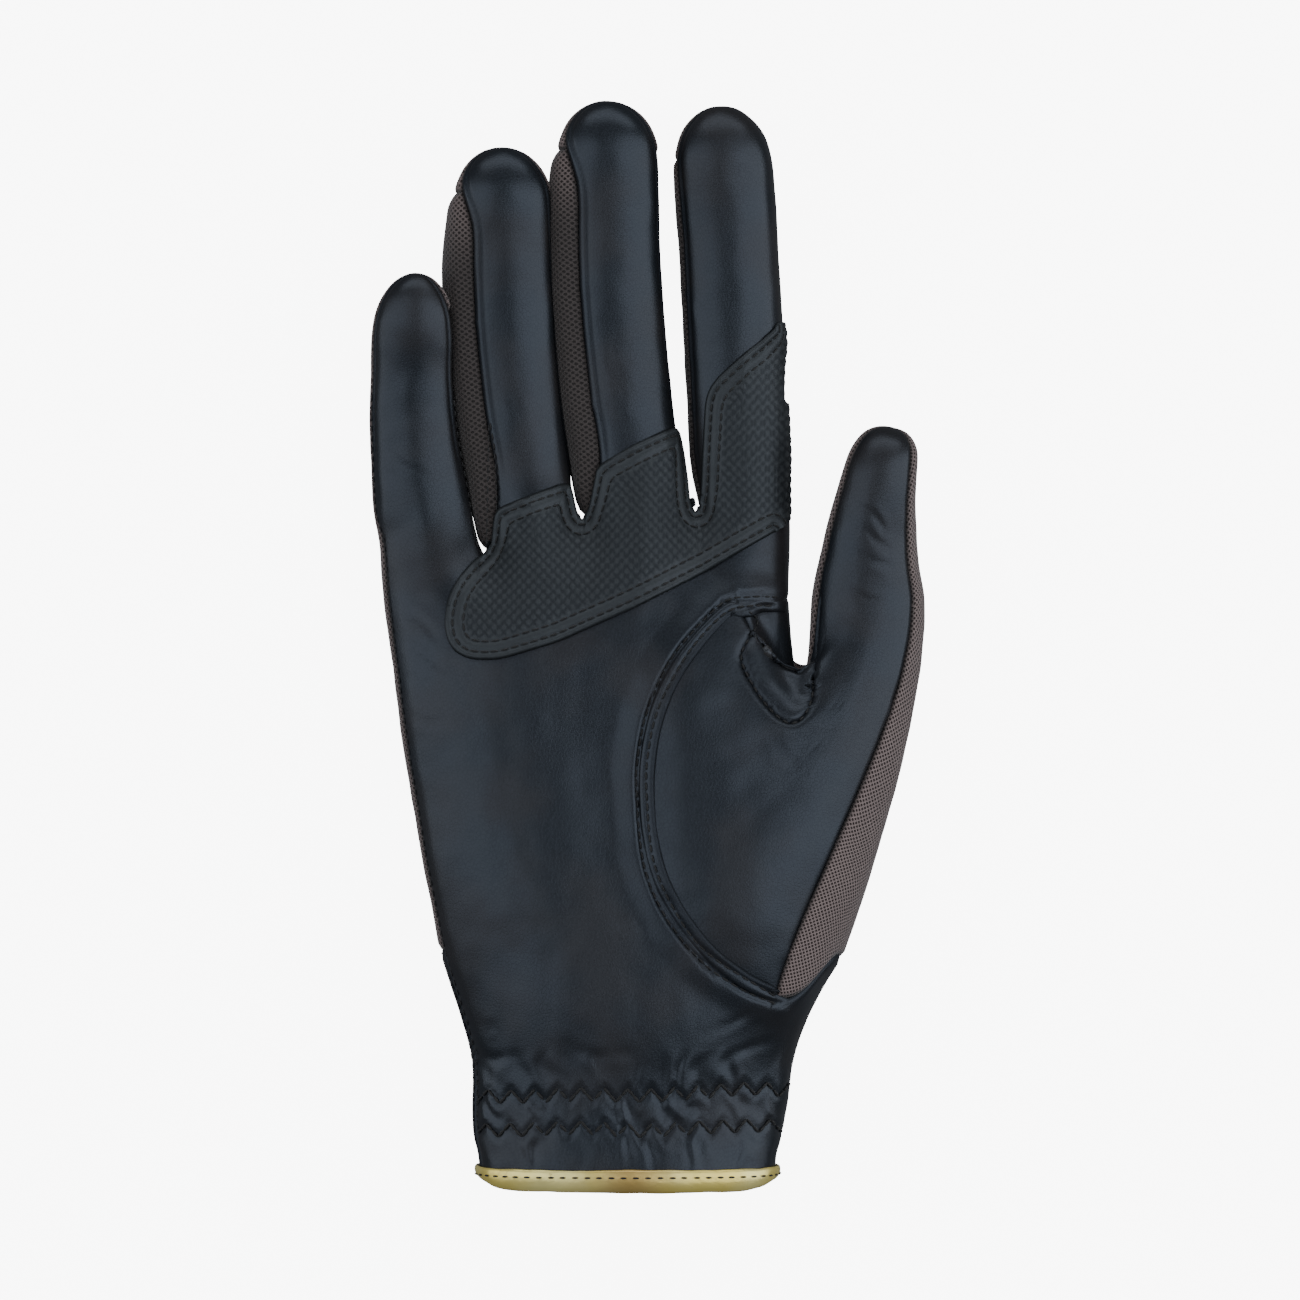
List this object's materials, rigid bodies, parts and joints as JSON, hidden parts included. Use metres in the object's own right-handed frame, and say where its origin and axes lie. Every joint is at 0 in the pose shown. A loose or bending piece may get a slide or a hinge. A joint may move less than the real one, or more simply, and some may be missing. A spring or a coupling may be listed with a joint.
{
  "type": "riding glove",
  "caption": "Right-hand riding glove in smooth dark leather and knit, with an embossed grip patch and a gold bound cuff, lying palm up",
  "frame": {"origin": "on the surface that the glove lies on, under the middle of the palm", "axes": "+Y towards the fingertips, +Z out of the palm, +X towards the thumb"},
  "size_m": [0.1202, 0.2351, 0.0297],
  "materials": {
    "leather": "smooth fine-grained leather, soft sheen",
    "grip": "embossed leather with a raised dot lattice",
    "knit": "brown-grey stretch mesh knit, matt",
    "gold": "gold foil leather, satin metallic"
  },
  "bodies": {
    "root": {"palm_leather": "leather", "thumb_leather": "leather", "thumb_gusset": "leather", "cuff_back": "leather", "grip_patch": "grip", "back_mesh": "knit", "thumb_mesh": "knit", "fourchette_little_ring": "knit", "fourchette_ring_middle": "knit", "fourchette_middle_index": "knit", "hem_binding": "gold"}
  },
  "joints": []
}
